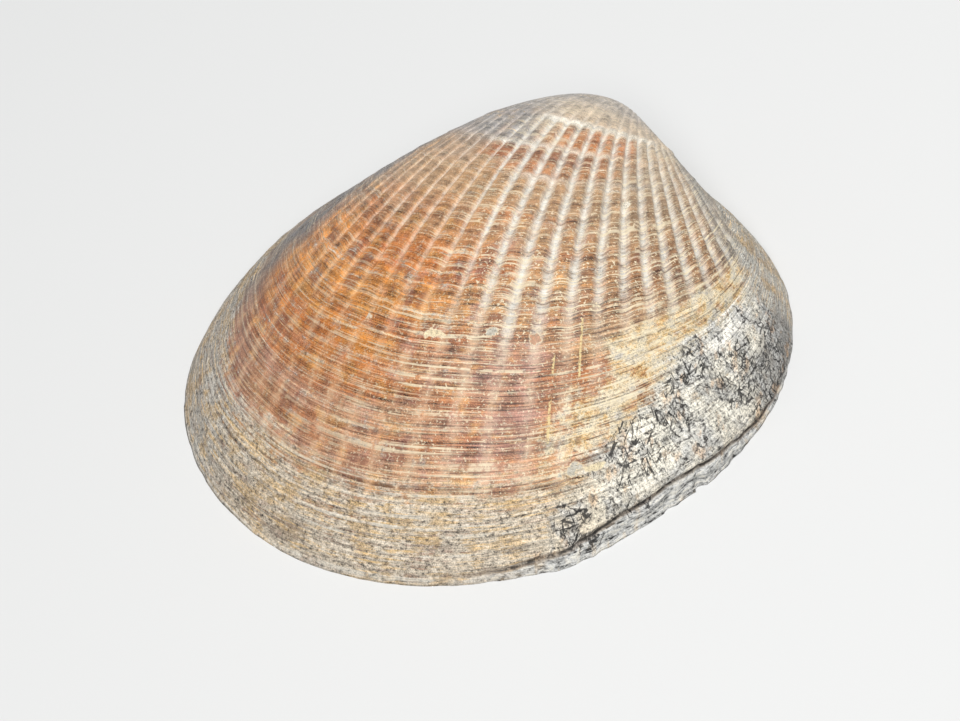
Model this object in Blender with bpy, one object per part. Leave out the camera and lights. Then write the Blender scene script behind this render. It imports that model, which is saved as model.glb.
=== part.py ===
# Bittersweet clam shell, one valve, in metres with +Z up.
# The valve lies on its rim at Z = 0 with the dome up, the free edge towards -Y and the beak towards +Y.
# It grew as one piece, so it is one closed solid: a ribbed outside grown around the beak, and a
# hollow inside with a hinge plate and a notched inner rim.

import math

import bmesh
import bpy
from mathutils import Vector

MM = 0.001

# Rim outline: a near circle with a slight oval and a slight triangle to it, drawn out at the hinge
RIM_RADIUS = 31.0 * MM
OVAL_SHARE = -0.011
OVAL_TURN = math.radians(-4.5)
TRIANGLE_SHARE = 0.014
TRIANGLE_TURN = math.radians(16.0)
HINGE_BULGE = 0.128
HINGE_BULGE_SPREAD = 0.58
HINGE_LINE_Y = 32.3 * MM
HINGE_LINE_SOFTNESS = 0.6 * MM
SHOULDER = 0.4 * MM
SHOULDER_ANGLE = math.radians(130.0)
SHOULDER_SPREAD = math.radians(24.0)

# Wear close to the rim: worn back in one place, a flake that stands out in another
WORN_DEPTH = 0.7 * MM
WORN_ANGLE = math.radians(62.0)
WORN_SPREAD = math.radians(12.0)
FLAKE_REACH = 0.5 * MM
FLAKE_ANGLE = math.radians(40.0)
FLAKE_SPREAD = math.radians(7.0)
WEAR_FROM = 0.94

# Growth: every older rim is the same rim, smaller about the beak and turned up about the hinge axis
BEAK_Y = 35.2 * MM
BEAK_Z = 1.3 * MM
SPIRAL_TIGHTNESS = 1.6
LATE_STEEPENING = 0.136
LATE_STEEPENING_POWER = 4.8
SMALLEST_STAGE = 0.07
NORMAL_STEP = 0.002

# Middle of the bounding box, seen from above, measured from the middle of the rim
BOX_MIDDLE_X = -0.309 * MM
BOX_MIDDLE_Y = 2.593 * MM

# Ribs: flat-topped, with a narrow groove between, strong from the beak to mid height and faint below
RIB_COUNT = 47
COLUMNS_PER_RIB = 3
RIB_HEIGHT = 0.38 * MM
RIB_FULL_STAGE = 0.35
GROOVE_OFFSET = math.radians(-14.1)
GROOVE_FLOOR = 0.04
RIB_SIDE = 0.28
RIB_FADE_FROM = 0.62
RIB_FADE_TO = 0.84
RIB_HEIGHT_LEFT = 0.25
RIB_LAST_ANGLE = math.radians(148.0)
RIB_FIRST_LOSS = math.radians(128.0)

# Growth rests: at each the shell steps down a little, towards the rim. The last one is a groove
# that leaves a lip along the rim, deep on the +X side and shallow on the other.
STAGES = (1.0, 0.988, 0.977, 0.967, 0.945, 0.918, 0.899, 0.890, 0.865, 0.842, 0.830, 0.79, 0.75, 0.70,
          0.65, 0.60, 0.55, 0.495, 0.44, 0.385, 0.330, 0.318, 0.26, 0.20, 0.135, SMALLEST_STAGE)
REST_STEPS = {0.899: 0.22 * MM, 0.842: 0.26 * MM, 0.330: 0.18 * MM}
LIP_GROOVE_STAGE = 0.977
LIP_GROOVE_DEPTH = 0.42 * MM
LIP_GROOVE_SHALLOW = 0.3
LIP_GROOVE_MIDDLE = math.radians(62.0)
LIP_GROOVE_SPREAD = math.radians(58.0)

# Inside: flat rim, notches along the free edge, arched hinge plate with teeth, and bowl
RIM_FLAT = 1.4 * MM
NOTCH_WIDTH = 1.1 * MM
NOTCH_DEPTH = 0.75 * MM
NOTCH_SLOPE = 0.35 * MM
PLATE_WIDTH = 6.0 * MM
PLATE_RECESS = 0.9 * MM
TOOTH_RECESS = 0.12 * MM
PLATE_STEP = 0.5 * MM
PLATE_FROM = math.radians(104.0)
PLATE_FULL = math.radians(128.0)
TOOTHLESS_ANGLE = math.radians(8.0)
BOWL_CENTRE_Y = 1.0 * MM
BOWL_DEPTH = 14.6 * MM
BOWL_EDGE_Z = 1.0 * MM
BOWL_ROUNDNESS = 1.8
BOWL_EDGE_SHARPNESS = 12
BOWL_RINGS = (0.90, 0.74, 0.52, 0.30, 0.12)

SHELL_COLOUR = (0.55, 0.36, 0.22, 1.0)
SHELL_ROUGHNESS = 0.62


def smooth_step(low, high, value):
    """0 below low, 1 above high, and an S curve between."""
    share = min(max((value - low) / (high - low), 0.0), 1.0)
    return share * share * (3.0 - 2.0 * share)


def from_hinge(angle):
    """Angle away from the hinge, 0 at the hinge and pi at the free edge."""
    return abs(math.remainder(angle - math.pi, math.tau))


def from_free_edge(angle):
    """Angle away from the middle of the free edge."""
    return abs(math.remainder(angle, math.tau))


def bump(angle, middle, spread):
    """A smooth bump around the rim, 1 at its middle."""
    off = math.remainder(angle - middle, math.tau) / spread
    return math.exp(-off * off)


def round_radius(angle, stage=1.0):
    """Radius of the near circle that the rim keeps to, away from the hinge; wear shows only near the rim."""
    oval = OVAL_SHARE * math.cos(2.0 * (angle - OVAL_TURN))
    triangle = TRIANGLE_SHARE * math.cos(3.0 * (angle - TRIANGLE_TURN))
    shoulder = SHOULDER * bump(angle, SHOULDER_ANGLE, SHOULDER_SPREAD)
    flake = FLAKE_REACH * bump(angle, FLAKE_ANGLE, FLAKE_SPREAD)
    worn = WORN_DEPTH * bump(angle, WORN_ANGLE, WORN_SPREAD)
    wear = smooth_step(WEAR_FROM, 1.0, stage) * (flake - worn)
    return RIM_RADIUS * (1.0 + oval + triangle) + shoulder + wear


def rim_point(angle, stage=1.0):
    """The rim seen from above, about its own middle; angle 0 is -Y and grows towards +X."""
    bulge = HINGE_BULGE * math.exp(-((from_hinge(angle) / HINGE_BULGE_SPREAD) ** 2))
    radius = round_radius(angle, stage) + RIM_RADIUS * bulge
    x = radius * math.sin(angle)
    y = -radius * math.cos(angle)
    over = (y - HINGE_LINE_Y) / HINGE_LINE_SOFTNESS
    y -= HINGE_LINE_SOFTNESS * math.log1p(math.exp(over))
    return x, y


def grown_point(angle, stage):
    """The smooth outside: the rim scaled by stage about the beak and turned up with age."""
    rim_x, rim_y = rim_point(angle, stage)
    late = LATE_STEEPENING * (1.0 - stage ** LATE_STEEPENING_POWER)
    turn = -math.log(stage) / SPIRAL_TIGHTNESS + late
    along = rim_y - BEAK_Y
    up = -BEAK_Z
    y = BEAK_Y + stage * (along * math.cos(turn) + up * math.sin(turn))
    z = BEAK_Z + stage * (-along * math.sin(turn) + up * math.cos(turn))
    return Vector((stage * rim_x, y, z))


def outward(angle, stage):
    """Unit normal of the smooth outside."""
    around = grown_point(angle + NORMAL_STEP, stage) - grown_point(angle - NORMAL_STEP, stage)
    downward = grown_point(angle, stage) - grown_point(angle, stage - NORMAL_STEP)
    return downward.cross(around).normalized()


def rib_profile(angle):
    """0 in the grooves between ribs and 1 along their flat tops."""
    place = (angle - GROOVE_OFFSET) / math.tau * RIB_COUNT
    to_groove = abs(place - round(place))
    return smooth_step(GROOVE_FLOOR, RIB_SIDE, to_groove)


def lip_groove(angle):
    """Depth of the groove above the lip."""
    near = bump(angle, LIP_GROOVE_MIDDLE, LIP_GROOVE_SPREAD)
    return LIP_GROOVE_DEPTH * (LIP_GROOVE_SHALLOW + (1.0 - LIP_GROOVE_SHALLOW) * near)


def relief(angle, stage):
    """Height of the ribs and growth steps above the smooth outside."""
    side = smooth_step(RIB_LAST_ANGLE, RIB_FIRST_LOSS, from_free_edge(angle))
    age_fade = 1.0 - (1.0 - RIB_HEIGHT_LEFT) * smooth_step(RIB_FADE_FROM, RIB_FADE_TO, stage)
    young = min(1.0, stage / RIB_FULL_STAGE)
    ribs = RIB_HEIGHT * age_fade * young * (rib_profile(angle) - 1.0)
    step = -lip_groove(angle) if stage == LIP_GROOVE_STAGE else REST_STEPS.get(stage, 0.0)
    return side * (ribs + step) if stage < 1.0 else 0.0


def outside_point(angle, stage):
    return grown_point(angle, stage) + outward(angle, stage) * relief(angle, stage)


def plate_share(angle):
    """0 along the free edge, 1 where the hinge plate has its full width."""
    return smooth_step(PLATE_FROM, PLATE_FULL, from_free_edge(angle))


def inset_rim(angle, inset, height):
    """A point on the underside, the given distance in from the rim."""
    x, y = rim_point(angle)
    shrink = 1.0 - inset / math.hypot(x, y)
    return Vector((x * shrink, y * shrink, height))


def arch_point(angle, inset, height):
    """A point on the underside, the given distance in from the near circle, not from the hinge line."""
    radius = round_radius(angle) - inset
    return Vector((radius * math.sin(angle), -radius * math.cos(angle), height))


def bowl_point(share, edge):
    """The hollow: from its edge (share 1) to the middle (share 0), rising as a flattened dome."""
    x = edge.x * share
    y = BOWL_CENTRE_Y + (edge.y - BOWL_CENTRE_Y) * share
    dome = BOWL_DEPTH * (1.0 - share ** BOWL_ROUNDNESS)
    return Vector((x, y, edge.z * share ** BOWL_EDGE_SHARPNESS + dome))


def notch_height(index, angle):
    """Underside height of a column: notches and gaps between teeth are cut, teeth nearly touch Z = 0."""
    share = plate_share(angle)
    toothless = share == 1.0 and from_hinge(angle) < TOOTHLESS_ANGLE
    if index % COLUMNS_PER_RIB == 0 or toothless:
        return NOTCH_DEPTH + (PLATE_RECESS - NOTCH_DEPTH) * share
    return TOOTH_RECESS


def underside_rows(angles):
    """Rings of points from the flat rim inwards to the bowl."""
    flat, slope, plate, edges = [], [], [], []
    for index, angle in enumerate(angles):
        height = notch_height(index, angle)
        width = RIM_FLAT + NOTCH_WIDTH + (PLATE_WIDTH - NOTCH_WIDTH) * plate_share(angle)
        flat.append(inset_rim(angle, RIM_FLAT, 0.0))
        slope.append(inset_rim(angle, RIM_FLAT + NOTCH_SLOPE, height))
        plate.append(arch_point(angle, width, height))
        edges.append(arch_point(angle, width + PLATE_STEP, BOWL_EDGE_Z))
    bowl = [[bowl_point(share, edge) for edge in edges] for share in BOWL_RINGS]
    return [flat, slope, plate, edges] + bowl


def join_rows(bm, upper, lower):
    """Quads between two closed rings of vertices."""
    count = len(upper)
    for index in range(count):
        after = (index + 1) % count
        bm.faces.new((upper[index], upper[after], lower[after], lower[index]))


def close_with_point(bm, ring, point):
    """A fan of triangles from a ring to one point."""
    tip = bm.verts.new(point)
    count = len(ring)
    for index in range(count):
        bm.faces.new((ring[index], ring[(index + 1) % count], tip))


def build_valve():
    """One closed solid from the tip of the beak, over the outside and rim, to the middle of the bowl."""
    column_count = RIB_COUNT * COLUMNS_PER_RIB
    angles = [GROOVE_OFFSET + math.tau * index / column_count for index in range(column_count)]
    rows = [[outside_point(angle, stage) for angle in angles] for stage in reversed(STAGES)]
    rows += underside_rows(angles)
    middle = Vector((BOX_MIDDLE_X, BOX_MIDDLE_Y, 0.0))

    bm = bmesh.new()
    rings = [[bm.verts.new(point - middle) for point in row] for row in rows]
    for upper, lower in zip(rings, rings[1:]):
        join_rows(bm, upper, lower)
    beak_tip = sum(rows[0], Vector()) / column_count
    bowl_top = Vector((0.0, BOWL_CENTRE_Y, BOWL_DEPTH))
    close_with_point(bm, rings[0], beak_tip - middle)
    close_with_point(bm, rings[-1], bowl_top - middle)
    bmesh.ops.recalc_face_normals(bm, faces=bm.faces)

    mesh = bpy.data.meshes.new("shell_valve")
    bm.to_mesh(mesh)
    bm.free()
    mesh.shade_smooth()
    return mesh


def shell_material():
    material = bpy.data.materials.new("shell")
    material.use_nodes = True
    surface = material.node_tree.nodes["Principled BSDF"]
    surface.inputs["Base Color"].default_value = SHELL_COLOUR
    surface.inputs["Roughness"].default_value = SHELL_ROUGHNESS
    surface.inputs["Metallic"].default_value = 0.0
    return material


def main():
    for old in list(bpy.data.objects):
        bpy.data.objects.remove(old, do_unlink=True)
    valve = bpy.data.objects.new("shell_valve", build_valve())
    valve.data.materials.append(shell_material())
    bpy.context.scene.collection.objects.link(valve)


main()
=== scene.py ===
import math
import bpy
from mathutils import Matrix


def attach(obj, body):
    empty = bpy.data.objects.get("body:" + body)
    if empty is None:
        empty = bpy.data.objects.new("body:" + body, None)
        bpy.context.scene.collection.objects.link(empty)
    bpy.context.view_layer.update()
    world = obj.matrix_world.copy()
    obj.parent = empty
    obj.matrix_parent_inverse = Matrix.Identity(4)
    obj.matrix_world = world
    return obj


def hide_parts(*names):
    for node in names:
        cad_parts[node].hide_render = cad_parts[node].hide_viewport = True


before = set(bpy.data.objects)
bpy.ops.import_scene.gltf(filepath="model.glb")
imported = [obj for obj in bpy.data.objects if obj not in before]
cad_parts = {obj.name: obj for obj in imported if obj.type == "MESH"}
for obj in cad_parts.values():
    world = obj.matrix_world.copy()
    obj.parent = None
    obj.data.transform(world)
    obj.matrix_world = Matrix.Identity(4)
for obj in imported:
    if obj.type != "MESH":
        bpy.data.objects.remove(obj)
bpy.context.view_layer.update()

from types import SimpleNamespace

import bpy
import numpy as np
from mathutils import Matrix

# One valve of a bittersweet clam, worn and crusted, lying on its rim. Lengths in millimetres and
# angles in degrees until the mesh is made. The surface is a grid: around is the angle from the
# middle of the free edge, growing towards +X, and growth is 0 at the beak and 1 at the rim.


form = {
    "rimRadius": 31.0,
    "ovalShare": -0.011, "ovalTurn": -4.5,
    "triangleShare": 0.014, "triangleTurn": 16.0,
    "hingeBulge": 0.128, "hingeSpread": math.degrees(0.58),
    "hingeLineY": 32.3, "hingeSoftness": 0.6,
    "shoulder": 0.4, "shoulderAt": 130.0, "shoulderSpread": 24.0,
    "flake": 0.5, "flakeAt": 40.0, "flakeSpread": 7.0,
    "worn": 0.7, "wornAt": 62.0, "wornSpread": 12.0, "wearFrom": 0.94,
    "beakY": 35.2, "beakZ": 1.3,
    "tightness": 1.6, "lateSteepening": 0.136, "latePower": 4.8,
    "middleX": -0.309, "middleY": 2.594,   # middle of the box, from the middle of the rim
    "ragged": 0.46, "eaten": 0.30,         # how far bites and pits go in at the rim
}

ribs = {
    "count": 47,
    "offset": -14.1,
    "height": 0.38, "crown": 0.10,
    "fadeFrom": 0.60, "fadeTo": 0.82, "heightLeft": 0.10,
    "columns": (0.0, 0.055, 0.11, 0.17, 0.26, 0.38, 0.5, 0.62, 0.74, 0.83, 0.89, 0.945),
    "scallop": 0.0022,                     # growth lines bow towards the beak on each rib
}
ribAngle = 360.0 / ribs["count"]

# growth rests: (growth, step in mm)
rests = (
    (0.318, 0.16), (0.398, 0.10), (0.467, 0.10), (0.513, 0.05), (0.560, 0.05), (0.601, 0.06), (0.640, 0.05),
    (0.690, 0.07), (0.722, 0.05), (0.752, 0.08), (0.800, 0.10), (0.842, 0.20), (0.870, 0.10), (0.905, 0.16),
    (0.932, 0.08), (0.955, 0.10),
)

# how deep the surface is worked, in mm
surface = {
    "crustGrain": 0.055, "crustLift": 0.10, "rows": 0.030, "chalkPits": 0.16, "dents": 0.10,
    "lipGroove": 0.10, "lipGrooveRight": 0.42, "lamina": 0.17, "lipPits": 0.22,
    "crownDrop": 0.16,                     # keeps the valve as tall as the solid
    "strayShare": 0.0022,                  # growth lines wander by this share of the growth
}


def smoothStep(low, high, value):
    # 0 below low, 1 above high, an S curve between
    share = np.clip((value - low) / (high - low), 0.0, 1.0)
    return share * share * (3.0 - 2.0 * share)


def plateau(a, b, c, d, value):
    # 0, then up from a to b, 1, and down again from c to d
    return smoothStep(a, b, value) * (1.0 - smoothStep(c, d, value))


def signed(around):
    # the angle from -180 to 180
    return (around + 180.0) % 360.0 - 180.0


def bump(around, middle, spread):
    # exp(-(angle from the middle / spread) squared)
    return np.exp(-(signed(around - middle) / spread) ** 2)


def patches(around, growth, cellsAround, cellsDown, seed):
    # random values from -1 to 1 on a grid that closes around the valve, with S curves between them
    table = np.random.default_rng(seed).uniform(-1.0, 1.0, (cellsDown + 2, cellsAround))
    u = (around / 360.0 % 1.0) * cellsAround
    v = np.clip(growth, 0.0, 1.0) * cellsDown
    iu = np.floor(u).astype(int)
    iv = np.floor(v).astype(int)
    fu = smoothStep(0.0, 1.0, u - iu)
    fv = smoothStep(0.0, 1.0, v - iv)
    left, right = iu % cellsAround, (iu + 1) % cellsAround
    upper = table[iv, left] * (1 - fu) + table[iv, right] * fu
    lower = table[iv + 1, left] * (1 - fu) + table[iv + 1, right] * fu
    return upper * (1 - fv) + lower * fv


def cloudy(around, growth, cellsAround, cellsDown, seed, octaves=3):
    # patches added up, each layer twice as fine and half as strong
    total = 0.0
    for octave in range(octaves):
        scale = 2 ** octave
        layer = patches(around, growth, cellsAround * scale, cellsDown * scale, seed + octave)
        total = total + layer / scale
    return total / 1.5


def rimRadiusAt(around, stage, bitten=True):
    # a circle with a slight oval, triangle and shoulder to it; flake, wear and bites only near the rim
    oval = form["ovalShare"] * np.cos(np.radians(2.0 * (around - form["ovalTurn"])))
    triangle = form["triangleShare"] * np.cos(np.radians(3.0 * (around - form["triangleTurn"])))
    shoulder = form["shoulder"] * bump(around, form["shoulderAt"], form["shoulderSpread"])
    flake = form["flake"] * bump(around, form["flakeAt"], form["flakeSpread"])
    worn = form["worn"] * bump(around, form["wornAt"], form["wornSpread"])
    # bites: only ever inwards, so the valve keeps its size
    bite = np.maximum(cloudy(around, 0.5 + 0 * around, 60, 1, 5), 0.0)
    nibble = np.maximum(patches(around, 0.5 + 0 * around, 190, 1, 9), 0.0)
    bite = form["ragged"] * (bite + 0.9 * nibble) * (0.12 + 0.88 * bump(around, 66.0, 34.0))
    wear = smoothStep(form["wearFrom"], 1.0, stage) * (flake - worn)
    if bitten:
        wear = wear - smoothStep(0.955, 1.0, stage) * bite
    return form["rimRadius"] * (1.0 + oval + triangle) + shoulder + wear


def rimOutline(around, stage):
    # radius times sine and minus cosine, drawn out at the hinge and cut softly at the hinge line
    bulge = form["hingeBulge"] * bump(around, 180.0, form["hingeSpread"])
    radius = rimRadiusAt(around, stage) + form["rimRadius"] * bulge
    x = radius * np.sin(np.radians(around))
    y = -radius * np.cos(np.radians(around))
    over = (y - form["hingeLineY"]) / form["hingeSoftness"]
    return x, y - form["hingeSoftness"] * np.logaddexp(0.0, over)


def grown(around, stage):
    # every younger rim is the same rim, scaled by its stage about the beak and turned about the hinge axis
    rimX, rimY = rimOutline(around, stage)
    turn = -np.log(stage) / form["tightness"] + form["lateSteepening"] * (1.0 - stage ** form["latePower"])
    along = rimY - form["beakY"]
    up = -form["beakZ"]
    y = form["beakY"] + stage * (along * np.cos(turn) + up * np.sin(turn))
    z = form["beakZ"] + stage * (-along * np.sin(turn) + up * np.cos(turn))
    return np.stack([stage * rimX, y, z], -1)


def outwardNormal(around, stage):
    # cross product of the slopes down and around the smooth outside
    downward = grown(around, stage) - grown(around, stage - 0.002)
    sideways = grown(around + 0.1, stage) - grown(around - 0.1, stage)
    normal = np.cross(downward, sideways)
    return normal / np.linalg.norm(normal, axis=-1, keepdims=True)


def fromGroove(around):
    # distance from the nearest rib groove, in ribs: 0 in the groove and 0.5 on the top of a rib
    place = (around - ribs["offset"]) / ribAngle
    return np.abs(place - np.round(place))


def stageOf(around, growth):
    # growth lines bow towards the beak on each rib, wander a little, and run true at the rim
    top = 0.5 - 0.5 * np.cos(2.0 * np.pi * fromGroove(around))
    hold = plateau(0.22, 0.40, 0.66, 0.75, growth)
    wander = surface["strayShare"] * patches(around, growth, 22, 9, 21) * smoothStep(0.1, 0.3, growth)
    wander = wander * (1.0 - smoothStep(0.96, 1.0, growth))
    return growth - ribs["scallop"] * top * hold + wander


def frontShare(around):
    # 1 on the front and sides, 0 beside the hinge
    return 1.0 - smoothStep(128.0, 150.0, np.abs(signed(around)))


def lipStage(around):
    # where the groove above the lip runs
    angles = (-180.0, -40.0, 0.0, 20.0, 40.0, 52.0, 63.0, 72.0, 80.0, 88.0, 96.0, 110.0, 180.0)
    stages = (0.997, 0.996, 0.995, 0.993, 0.985, 0.974, 0.970, 0.973, 0.978, 0.987, 0.994, 0.996, 0.997)
    wobble = 0.0025 * cloudy(around, 0.3 + 0 * around, 50, 1, 31)
    return np.interp(signed(around), angles, stages) + wobble


def box(around, growth, a0, a1, g0, g1, softA=4.0, softG=0.01):
    # 1 inside a stretch of angle and growth, with soft sides
    a = signed(around)
    inA = plateau(a0 - softA, a0 + softA, a1 - softA, a1 + softA, a)
    inG = plateau(g0 - softG, g0 + softG, g1 - softG, g1 + softG, growth)
    return inA * inG


def crustMask(around, growth):
    # the grey crust along the rim: its edge is ragged and climbs towards both sides
    a = signed(around)
    angles = (-180.0, -110.0, -80.0, -62.0, -45.0, 0.0, 35.0, 60.0, 90.0, 105.0, 125.0, 180.0)
    edges = (0.60, 0.70, 0.80, 0.872, 0.903, 0.907, 0.912, 0.93, 0.90, 0.74, 0.62, 0.55)
    edge = np.interp(a, angles, edges) + 0.006 * cloudy(around, growth, 60, 12, 41)
    return smoothStep(-0.040, 0.038, growth - edge)


def chalkMask(around, growth):
    # worn chalk on the right, up from the rim to a ragged edge
    angles = (30.0, 38.0, 45.0, 53.0, 62.0, 72.0, 84.0, 96.0, 104.0, 112.0, 120.0)
    edges = (1.05, 0.955, 0.915, 0.885, 0.835, 0.80, 0.795, 0.80, 0.83, 0.93, 1.05)
    edge = np.interp(signed(around), angles, edges) + 0.014 * cloudy(around, growth, 40, 24, 51)
    return smoothStep(-0.050, 0.030, growth - edge)


def creamMask(around, growth):
    # cream between the ribs' lower ends and the chalk: the strongest of three stretches, made uneven
    whole = box(around, growth, 50.0, 104.0, 0.735, 0.83, 7.0, 0.025)
    under = box(around, growth, 62.0, 104.0, 0.72, 0.93, 9.0, 0.03)
    low = box(around, growth, 36.0, 62.0, 0.80, 0.905, 8.0, 0.03) * 0.75
    whole = np.maximum(np.maximum(whole, under), low)
    return np.clip(whole * (1.0 + 0.8 * cloudy(around, growth, 44, 30, 61)), 0.0, 1.0)


def grooveWide(around, growth):
    # grooves are wide between the right-hand ribs and narrow between the left-hand ones
    a = signed(around) + 60.0 * np.clip(0.60 - growth, 0.0, 0.25)
    right = plateau(4.0, 22.0, 118.0, 135.0, a)
    return 0.09 + 0.13 * right


def ribRelief(around, growth):
    # flat-topped ribs, cut by grooves that fade towards the rim
    wide = grooveWide(around, growth)
    profile = smoothStep(0.25 * wide, 1.35 * wide, fromGroove(around))
    crown = ribs["crown"] * (1.0 - (2.0 * fromGroove(around) - 1.0) ** 2)
    fade = 1.0 - (1.0 - ribs["heightLeft"]) * smoothStep(ribs["fadeFrom"], ribs["fadeTo"], growth)
    young = np.clip(growth / 0.35, 0.0, 1.0) * (0.45 + 0.55 * smoothStep(0.28, 0.36, growth))
    a = signed(around)
    strength = 0.45 + 0.55 * smoothStep(2.0, 24.0, a)
    return ribs["height"] * strength * fade * young * (profile - 1.0 + crown * (growth < 0.9))


def restRelief(around, growth):
    # each rest swells up to its line and then drops as a short scarp
    total = 0.0
    for index, (line, step) in enumerate(rests):
        swell = plateau(line - 0.028, line, line, line + 0.006, growth)
        uneven = 0.75 + 0.5 * patches(around, growth, 14, 1, 70 + index)
        total = total + step * uneven * swell
    return total


def lipRelief(around, growth):
    # a groove above the lip: deep on the right, slight elsewhere; laminae split the lip beyond it
    depth = surface["lipGroove"] + surface["lipGrooveRight"] * bump(around, 62.0, 42.0)
    line = lipStage(around)
    groove = -depth * np.exp(-((growth - line) / 0.0048) ** 2)
    across = np.clip((growth - line) / (1.0 - line), 0.0, 1.0)
    right = bump(around, 58.0, 36.0)
    laminae = 0.0
    for index, edge in enumerate((0.30, 0.55, 0.80)):
        ragged = edge + 0.22 * cloudy(around, 0.5 + 0.0 * growth, 64, 1, 81 + 4 * index)
        laminae = laminae + surface["lamina"] * smoothStep(ragged - 0.04, ragged + 0.04, across)
    pits = surface["lipPits"] * np.maximum(cloudy(around, growth, 90, 120, 87, 2) - 0.1, 0.0)
    pits = pits * smoothStep(0.1, 0.3, across)
    return groove - right * (laminae + pits)


def relief(around, growth):
    # how far the surface stands out from the smooth form: ribs, rests, crust, chalk, dents and the lip
    front = frontShare(around)
    crust = crustMask(around, growth)
    chalk = chalkMask(around, growth)
    rough = surface["crustGrain"] * cloudy(around, growth, 150, 110, 91, 2)
    rough = rough * np.maximum(crust, 0.8 * chalk)
    rows = surface["rows"] * patches(around, growth, 34, 170, 95) * smoothStep(0.36, 0.6, growth)
    pits = -surface["chalkPits"] * np.maximum(cloudy(around, growth, 60, 46, 97, 2) - 0.15, 0.0) * chalk
    lift = surface["crustLift"] * crust * (1.0 - smoothStep(0.96, 0.985, growth))
    dents = surface["dents"] * patches(around, growth, 9, 5, 99) * (1.0 - smoothStep(0.8, 1.0, growth))
    total = ribRelief(around, growth) + restRelief(around, growth) + rough + rows + pits + lift + dents
    total = front * total + lipRelief(around, growth) * smoothStep(0.0, 0.3, front)
    crown = plateau(0.30, 0.40, 0.62, 0.74, growth)
    total = total - surface["crownDrop"] * crown
    # at the rim itself it only goes in
    end = smoothStep(0.985, 1.0, growth)
    total = total * (1.0 - end) + np.clip(total, -form["eaten"], 0.0) * end
    return total * smoothStep(0.07, 0.2, growth)


def outsidePoints(around, growth):
    # the smooth form plus the relief along its normal, which turns level near the rim
    stage = stageOf(around, growth)
    normal = outwardNormal(around, stage)
    normal[..., 2] *= 1.0 - smoothStep(0.93, 0.98, growth)
    return grown(around, stage) + normal * relief(around, growth)[..., None]


inside = {
    "rimFlat": 1.4,
    "notchWidth": 1.5, "notchDepth": 0.70,
    "plateWidth": 6.0, "plateStep": 0.5,
    "plateFrom": 104.0, "plateFull": 128.0,
    "toothDepth": 0.85, "toothless": 8.0,
    "bowlY": 1.0, "bowlDepth": 14.6, "bowlEdgeZ": 1.0, "bowlRoundness": 1.8, "bowlSharpness": 12,
    "scars": ((-16.5, 9.0, 5.2, 6.6, 18.0), (17.0, 8.0, 5.0, 6.4, -16.0)),   # x, y, half sizes, turn
    "scarDepth": 0.16,
    "pallialInset": 6.2, "pallialWidth": 0.5, "pallialDepth": 0.10, "ripple": 0.05,
    "bowlRows": (1.0, 0.985, 0.965, 0.94, 0.91, 0.87, 0.83, 0.79, 0.75, 0.71, 0.67, 0.62, 0.57, 0.52, 0.46,
                 0.40, 0.33, 0.26, 0.18, 0.09),
}


def plateShare(around):
    # 1 on the hinge plate, 0 along the free edge
    return smoothStep(inside["plateFrom"], inside["plateFull"], np.abs(signed(around)))


def flatRim(around, inset, height):
    # a point the given distance in from the rim
    x, y = rimOutline(around, 1.0)
    shrink = 1.0 - inset / np.hypot(x, y)
    return np.stack([x * shrink, y * shrink, height], -1)


def archPoint(around, inset, height):
    # a point the given distance in from the near circle, not from the hinge line
    radius = rimRadiusAt(around, 1.0, False) - inset
    turn = np.radians(around)
    return np.stack([radius * np.sin(turn), -radius * np.cos(turn), height], -1)


def notchShape(around, across):
    # across goes from 0 at the rim flat to 1 at the bowl's edge; notches run straight, teeth lean outwards
    share = plateShare(around)
    notch = 0.5 - 0.5 * np.cos(4.0 * np.pi * fromGroove(around))
    lean = 2.6 * np.sign(signed(around)) * (across - 0.35) ** 2 * share
    tooth = smoothStep(0.07, 0.24, fromGroove(around + lean))
    away = 180.0 - np.abs(signed(around))
    toothed = smoothStep(inside["toothless"] - 3.0, inside["toothless"] + 5.0, away)
    depth = inside["toothDepth"] * (0.6 + 0.4 * np.sin(np.pi * np.clip(across, 0.0, 1.0)))
    toothHeight = 0.10 + depth * (1.0 - tooth * toothed)
    notchFade = np.sin(np.pi * np.clip(0.25 + 0.75 * across, 0.0, 1.0)) ** 0.6
    notchHeight = 0.04 + inside["notchDepth"] * (1.0 - notch) * notchFade
    return notchHeight * (1.0 - share) + toothHeight * share


def bowlPoints(share, edge):
    # from the bowl's edge (share 1) to its middle (share 0), rising as a flattened dome
    x = edge[..., 0] * share
    y = inside["bowlY"] + (edge[..., 1] - inside["bowlY"]) * share
    dome = inside["bowlDepth"] * (1.0 - share ** inside["bowlRoundness"])
    z = edge[..., 2] * share ** inside["bowlSharpness"] + dome
    return np.stack([x, y, z], -1)


def scarShare(x, y):
    # 1 inside the two muscle scars
    total = 0.0
    for scarX, scarY, halfX, halfY, turn in inside["scars"]:
        c, s = math.cos(math.radians(turn)), math.sin(math.radians(turn))
        u = ((x - scarX) * c + (y - scarY) * s) / halfX
        v = (-(x - scarX) * s + (y - scarY) * c) / halfY
        total = total + 1.0 - smoothStep(0.92, 1.06, np.hypot(u, v))
    return np.clip(total, 0.0, 1.0)


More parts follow.
